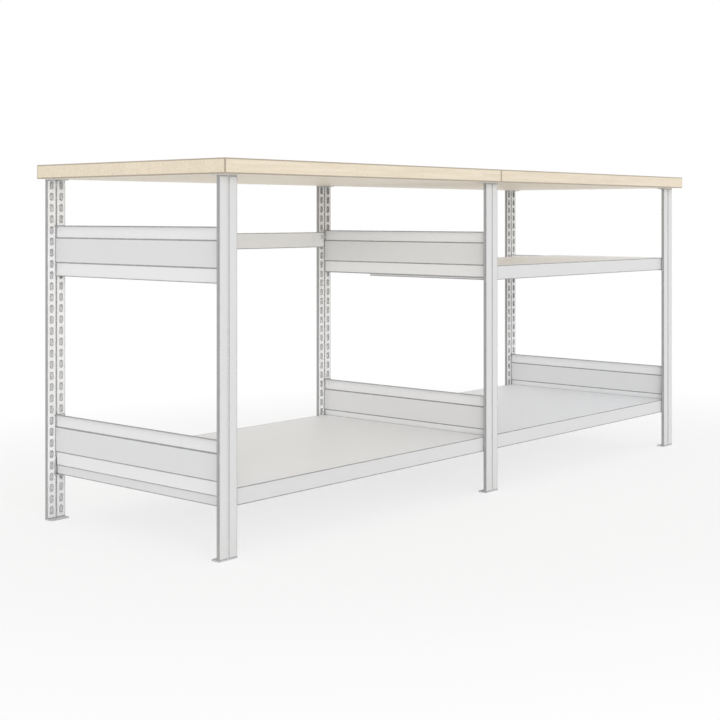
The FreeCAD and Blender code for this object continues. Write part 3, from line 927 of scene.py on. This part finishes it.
class TABLE_OT_shelves(bpy.types.Operator):
    """Powder coat on the shelves: decks brightened as painted light, and folded edges darkened as
    painted shade
    """

    bl_idname = "table.shelves"
    bl_label = "Coat shelves"

    def execute(self, context):
        settings = context.scene.table_steel

        def material_for(node):
            low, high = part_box(node)
            folds = box_edges(node)

            def edges(x, y, z):
                """The folds as dark lines, which are rubbing and painted shade, with a wider line
                along the deck's rear and ends.

                Below the deck a whole metre is added to that line's distance, so it ends there.
                """
                rear = (high.y - y).at_most(x - low.x).at_most(high.x - x) * DECK_REAR_LINE
                below_deck = (high.z - z).above(SHELF_SHEET)
                return folds(x, y, z).at_most(rear + below_deck)

            def fields(x, y, z):
                # Painted shade: the folded outer faces are darker than the deck.
                long_side = (y - low.y).at_most(high.y - y)
                short_side = (x - low.x).at_most(high.x - x)
                outer = long_side.at_most(short_side).below(SHELF_SHEET)
                return [(outer * (high.z - z).above(SHELF_SHEET), settings.painted_shading_colour)]

            return coat_node(node, settings.lit_deck_colour, settings, edges=edges, fields=fields)

        dress(SHELVES + ["upper_shelf_ends"], material_for)
        return {"FINISHED"}


class TABLE_OT_bars(bpy.types.Operator):
    """Powder coat on the rear tie, the shelf rails and the stiffeners"""

    bl_idname = "table.bars"
    bl_label = "Coat tie, rails and stiffeners"

    def execute(self, context):
        settings = context.scene.table_steel

        def material_for(node):
            # Painted light: the brighter deck colour, against the shade under the worktops.
            return coat_node(node, settings.lit_deck_colour, settings, edges=box_edges(node))

        dress(["rear_tie"] + RAILS + STIFFENERS, material_for)
        return {"FINISHED"}


# ---------------------------------------------------------------- wood and zinc


class TABLE_OT_worktops(bpy.types.Operator):
    """Lacquered beech on the two worktops and the dowels between them"""

    bl_idname = "table.worktops"
    bl_label = "Finish worktops"

    def execute(self, context):
        settings = context.scene.table_beech

        def material_for(node):
            side = -1 if node.startswith("left") else 1
            return beech_board(f"beech_{node}", settings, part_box(node), side)

        dress(WORKTOPS + ["worktop_dowels"], material_for)
        return {"FINISHED"}


class TABLE_OT_fasteners(bpy.types.Operator):
    """Bright zinc on bolts, nuts and screws, duller zinc on the shelf clips"""

    bl_idname = "table.fasteners"
    bl_label = "Plate fasteners and clips"

    def execute(self, context):
        zinc = context.scene.table_zinc
        bright = zinc_plate(
            "zinc_fasteners", zinc.fastener_colour, zinc.dull_colour, zinc.fastener_roughness
        )
        dull = zinc_plate("zinc_clips", zinc.clip_colour, zinc.dull_colour, zinc.clip_roughness)
        dress(FASTENERS, lambda node: bright)
        dress(CLIPS, lambda node: dull)
        return {"FINISHED"}


# ---------------------------------------------------------------- repeated details

RIM_OVERLAP = 0.6  # how far a rim reaches into its slot, as a share of the rim's width
CORNER_STEPS = 2  # of a rim's rounded corner
SPOT_SEGMENTS = 10
SPOT_RINGS = 6
SPOT_MARGIN = 1 / 3  # least part of a pitch between a stiffener's end and its first spot


class Pattern(Tree):
    """A Geometry Nodes tree with named inputs that ends in plain, finished geometry."""

    def __init__(self, name, inputs):
        super().__init__(bpy.data.node_groups.new(name, "GeometryNodeTree"))
        sockets = self.tree.interface
        sockets.new_socket("Geometry", in_out="INPUT", socket_type="NodeSocketGeometry")
        sockets.new_socket("Geometry", in_out="OUTPUT", socket_type="NodeSocketGeometry")
        for label, kind in inputs.items():
            sockets.new_socket(label, in_out="INPUT", socket_type=kind)
        self.start = self.node("NodeGroupInput")

    def given(self, label):
        return Value(self, self.start.outputs[label])

    def rectangle(self, width, height):
        inputs = {"Width": width, "Height": height}
        return self.add("GeometryNodeCurvePrimitiveQuadrilateral", {"mode": "RECTANGLE"}, inputs)

    def copies(self, points, instance):
        inputs = {"Points": points, "Instance": instance}
        return self.add("GeometryNodeInstanceOnPoints", inputs=inputs)

    def finish(self, geometry):
        real = self.add("GeometryNodeRealizeInstances", inputs={"Geometry": geometry})
        inputs = {"Geometry": real, "Material": self.given("Finish")}
        done = self.add("GeometryNodeSetMaterial", inputs=inputs)
        self.node("NodeGroupOutput", inputs={"Geometry": done})
        return self.tree


def grow(name, tree, points, values, body="root"):
    """Run a pattern on a set of points and leave a plain mesh that rides on a body."""
    seed = bpy.data.meshes.new(f"{name}_seed")
    seed.from_pydata([tuple(point) for point in points], [], [])
    holder = bpy.data.objects.new(f"{name}_seed", seed)
    bpy.context.scene.collection.objects.link(holder)
    modifier = holder.modifiers.new("pattern", "NODES")
    modifier.node_group = tree
    sockets = {
        item.name: item.identifier
        for item in tree.interface.items_tree
        if item.item_type == "SOCKET" and item.in_out == "INPUT"
    }
    for label, value in values.items():
        modifier[sockets[label]] = value
    depsgraph = bpy.context.evaluated_depsgraph_get()
    mesh = bpy.data.meshes.new_from_object(holder.evaluated_get(depsgraph), depsgraph=depsgraph)
    if not mesh.polygons:
        raise RuntimeError(f"{name} came out empty")
    holder.modifiers.remove(modifier)
    bpy.data.objects.remove(holder)
    mesh.name = name
    piece = bpy.data.objects.new(name, mesh)
    bpy.context.scene.collection.objects.link(piece)
    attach(piece, body)
    return piece


def rim_pattern():
    """Pressed rims of two slot columns, upwards from every point."""
    pattern = Pattern(
        "slot_rims",
        {
            "Slot Width": "NodeSocketFloat",
            "Slot Height": "NodeSocketFloat",
            "Corner Radius": "NodeSocketFloat",
            "Column Offset": "NodeSocketFloat",
            "Pitch": "NodeSocketFloat",
            "Rows": "NodeSocketInt",
            "Rim Width": "NodeSocketFloat",
            "Rim Height": "NodeSocketFloat",
            "Finish": "NodeSocketMaterial",
        },
    )
    given = pattern.given
    inset = given("Rim Width") * RIM_OVERLAP
    outline = pattern.rectangle(given("Slot Width") - inset, given("Slot Height") - inset)
    corner = given("Corner Radius") - inset / 2.0
    rounded = pattern.add(
        "GeometryNodeFilletCurve",
        {"mode": "POLY"},
        {"Curve": outline, "Count": CORNER_STEPS, "Radius": corner},
    )
    section = pattern.rectangle(given("Rim Width"), given("Rim Height") * 2.0)
    rim = pattern.add(
        "GeometryNodeCurveToMesh", inputs={"Curve": rounded, "Profile Curve": section}
    )
    height = (given("Rows") - 1.0) * given("Pitch")
    grid = pattern.add(
        "GeometryNodeMeshGrid",
        inputs={
            "Size X": given("Column Offset") * 2.0,
            "Size Y": height,
            "Vertices X": 2,
            "Vertices Y": given("Rows"),
        },
    )
    upright = pattern.add(
        "GeometryNodeTransform",
        inputs={
            "Geometry": pattern.copies(grid, rim),
            "Rotation": (math.pi / 2, 0.0, 0.0),
            "Translation": pattern.vector(0.0, 0.0, height / 2.0),
        },
    )
    return pattern.finish(pattern.copies(given("Geometry"), upright))


class TABLE_OT_slot_rims(bpy.types.Operator):
    """Pressed rims around all slots, one piece for each post"""

    bl_idname = "table.slot_rims"
    bl_label = "Add slot rims"

    def execute(self, context):
        rims = context.scene.table_rims
        steel = context.scene.table_steel
        tree = rim_pattern()
        values = {
            "Slot Width": rims.slot_width,
            "Slot Height": rims.slot_height,
            "Corner Radius": rims.corner,
            "Column Offset": rims.column,
            "Pitch": rims.pitch,
            "Rows": rims.rows,
            "Rim Width": rims.rim_width,
            "Rim Height": rims.rim_height,
            # Painted shade and wear: the darker rim coat.
            "Finish": powder_coat("powder_coat_slot_rims", rims.rim_shade_and_wear_colour, steel),
        }
        for node in POSTS:
            low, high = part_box(node)
            first_slot = Vector(((low.x + high.x) / 2, lip_of(node), low.z + rims.first))
            piece = grow(node.replace("_post", "_slot_rims"), tree, [first_slot], values)
        return {"FINISHED"}


def weld_pattern():
    """A row of flat weld spots along the table from every point."""
    pattern = Pattern(
        "weld_spots",
        {
            "Spots": "NodeSocketInt",
            "Pitch": "NodeSocketFloat",
            "Diameter": "NodeSocketFloat",
            "Height": "NodeSocketFloat",
            "Finish": "NodeSocketMaterial",
        },
    )
    given = pattern.given
    radius = given("Diameter") / 2.0
    ball = pattern.add(
        "GeometryNodeMeshUVSphere",
        inputs={"Segments": SPOT_SEGMENTS, "Rings": SPOT_RINGS, "Radius": radius},
    )
    flat = pattern.vector(1.0, 1.0, given("Height") / radius)
    spot = pattern.add("GeometryNodeTransform", inputs={"Geometry": ball, "Scale": flat})
    row = pattern.add(
        "GeometryNodeMeshLine",
        {"mode": "OFFSET", "count_mode": "TOTAL"},
        {"Count": given("Spots"), "Offset": pattern.vector(given("Pitch"), 0.0, 0.0)},
    )
    return pattern.finish(pattern.copies(given("Geometry"), pattern.copies(row, spot)))


class TABLE_OT_weld_spots(bpy.types.Operator):
    """Weld spots on the feet of the stiffeners, one piece for each shelf"""

    bl_idname = "table.weld_spots"
    bl_label = "Add weld spots"

    def execute(self, context):
        welds = context.scene.table_welds
        steel = context.scene.table_steel
        tree = weld_pattern()
        # The weld spots take the darker painted-shade colour of the panels' fields.
        finish = powder_coat("powder_coat_weld_spots", steel.painted_shading_colour, steel)
        for shelf in SHELVES:
            stem = shelf.replace("_lower_shelf", "_shelf")
            bars = [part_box(node) for node in STIFFENERS if node.startswith(stem)]
            length = min(high.x - low.x for low, high in bars)
            margin = welds.pitch * SPOT_MARGIN
            spots = int((length - 2 * margin) / welds.pitch) + 1
            starts = []
            for low, high in bars:
                start = (low.x + high.x) / 2 - (spots - 1) * welds.pitch / 2
                middle = (low.y + high.y) / 2
                to_foot = (high.y - low.y - STIFFENER_FOOT) / 2
                under = high.z - SHELF_SHEET
                starts += [(start, middle - to_foot, under), (start, middle + to_foot, under)]
            values = {
                "Spots": spots,
                "Pitch": welds.pitch,
                "Diameter": welds.diameter,
                "Height": welds.height,
                "Finish": finish,
            }
            piece = grow(f"{stem}_weld_spots", tree, starts, values)
        return {"FINISHED"}


# ---------------------------------------------------------------- stage

WHITE = (1.0, 1.0, 1.0)
FLOOR_GREY = (0.95, 0.95, 0.95)
FLOOR_SPECKLE = 60.0  # per metre
SPECKLE_SHADE = 0.02
FLOOR_REACH = 60.0  # in metres
SHADOW_EDGE = (1.2, 2.6)  # radii between which the floor turns plain white, in metres
SHADOW_DEPTH = 1.6  # how much more depth counts than length in that radius, both squared
SENSOR_WIDTH = 36.0  # in millimetres
VIEW_END = 200.0  # in metres
LAMP_WIDTH = math.radians(24)
HIGH_FRONT = (0.36, 0.84, -0.42)  # directions in which the lamps shine
LOW_FRONT_LEFT = (0.735, 0.665, -0.13)


def seen_directly(shader):
    """1 for what the camera sees, straight or in metal and glass, 0 for light on the object."""
    rays = ("Is Camera Ray", "Is Glossy Ray", "Is Transmission Ray")
    straight, mirrored, through = (shader.add("ShaderNodeLightPath", output=ray) for ray in rays)
    return straight.at_least(mirrored).at_least(through)


def studio_floor(glow):
    """Pale floor that keeps the table's soft shadow and turns plain white further out."""
    shader = Shader.material("studio_floor")
    place = shader.place()
    x, y, z = shader.parts(place)
    speckle = shader.noise(place, FLOOR_SPECKLE, detail=3.0)
    tone = shader.tint(FLOOR_GREY, speckle.swing(SPECKLE_SHADE) + 1.0)
    near = shader.add("ShaderNodeBsdfDiffuse", inputs={"Color": tone})
    far = shader.add("ShaderNodeEmission", inputs={"Color": WHITE, "Strength": 1.0})
    radius = (x * x + y * y * SHADOW_DEPTH).root()
    white = radius.fade(*SHADOW_EDGE) * (1.0 - glow) + glow
    share = white * seen_directly(shader)
    return shader.finish(shader.add("ShaderNodeMixShader", inputs={0: share, 1: near, 2: far}))


def studio_room(sky):
    """Even white light from all around, behind which the camera sees plain white."""
    shader = Shader(bpy.data.worlds.new("room"))
    room = shader.add("ShaderNodeBackground", inputs={"Color": WHITE, "Strength": sky})
    paper = shader.add("ShaderNodeBackground", inputs={"Color": WHITE, "Strength": 1.0})
    inputs = {0: seen_directly(shader), 1: room, 2: paper}
    return shader.finish(shader.add("ShaderNodeMixShader", inputs=inputs), "ShaderNodeOutputWorld")


def soft_lamp(name, strength, direction):
    """Sun lamp as wide as a large softbox, which leaves no hot spot on lacquer or coat."""
    lamp = bpy.data.lights.new(name, "SUN")
    lamp.energy = strength
    lamp.angle = LAMP_WIDTH
    holder = bpy.data.objects.new(name, lamp)
    holder.rotation_euler = Vector(direction).to_track_quat("-Z", "Y").to_euler()
    holder.visible_glossy = False
    bpy.context.scene.collection.objects.link(holder)


class TABLE_OT_stage(bpy.types.Operator):
    """Camera, pale floor, even room light and two soft lamps"""

    bl_idname = "table.stage"
    bl_label = "Set the stage"

    def execute(self, context):
        scene = context.scene
        settings = scene.table_stage
        near, far = -FLOOR_REACH, FLOOR_REACH
        corners = [(near, near, 0.0), (far, near, 0.0), (far, far, 0.0), (near, far, 0.0)]
        mesh = bpy.data.meshes.new("floor")
        mesh.from_pydata(corners, [], [(0, 1, 2, 3)])
        mesh.materials.append(studio_floor(settings.floor_glow))
        floor = bpy.data.objects.new("floor", mesh)
        scene.collection.objects.link(floor)

        scene.world = studio_room(settings.sky)
        soft_lamp("key", settings.key, HIGH_FRONT)
        soft_lamp("fill", settings.fill, LOW_FRONT_LEFT)

        lens = bpy.data.cameras.new("camera")
        lens.lens = settings.lens
        lens.sensor_width = SENSOR_WIDTH
        lens.shift_y = settings.rise
        lens.clip_end = VIEW_END
        camera = bpy.data.objects.new("camera", lens)
        camera.location = settings.eye
        camera.rotation_euler = (math.pi / 2, 0.0, -settings.heading)
        scene.collection.objects.link(camera)
        scene.camera = camera
        scene.view_settings.view_transform = "Standard"
        return {"FINISHED"}


# ---------------------------------------------------------------- add-on


OPERATORS = (
    TABLE_OT_posts,
    TABLE_OT_plates,
    TABLE_OT_panels,
    TABLE_OT_shelves,
    TABLE_OT_bars,
    TABLE_OT_worktops,
    TABLE_OT_fasteners,
    TABLE_OT_slot_rims,
    TABLE_OT_weld_spots,
    TABLE_OT_stage,
)

SETTINGS = {
    "table_steel": SteelSettings,
    "table_beech": BeechSettings,
    "table_zinc": ZincSettings,
    "table_rims": RimSettings,
    "table_welds": WeldSettings,
    "table_stage": StageSettings,
}


class TABLE_PT_finish(bpy.types.Panel):
    """Lists every step of the finish and its sizes and colours"""

    bl_idname = "TABLE_PT_finish"
    bl_label = "Assembly Table"
    bl_space_type = "VIEW_3D"
    bl_region_type = "UI"
    bl_category = "Assembly Table"

    def draw(self, context):
        layout = self.layout
        for operator in OPERATORS:
            layout.operator(operator.bl_idname)
        for name, group in SETTINGS.items():
            box = layout.box()
            box.label(text=group.__doc__)
            for key in group.__annotations__:
                box.prop(getattr(context.scene, name), key)


def register():
    for group in SETTINGS.values():
        bpy.utils.register_class(group)
    for operator in OPERATORS:
        bpy.utils.register_class(operator)
    bpy.utils.register_class(TABLE_PT_finish)
    for name, group in SETTINGS.items():
        setattr(bpy.types.Scene, name, bpy.props.PointerProperty(type=group))


def unregister():
    for name in SETTINGS:
        delattr(bpy.types.Scene, name)
    bpy.utils.unregister_class(TABLE_PT_finish)
    for operator in reversed(OPERATORS):
        bpy.utils.unregister_class(operator)
    for group in reversed(list(SETTINGS.values())):
        bpy.utils.unregister_class(group)


def main():
    register()
    for operator in OPERATORS:
        family, name = operator.bl_idname.split(".")
        getattr(getattr(bpy.ops, family), name)()


if __name__ == "__main__":
    main()
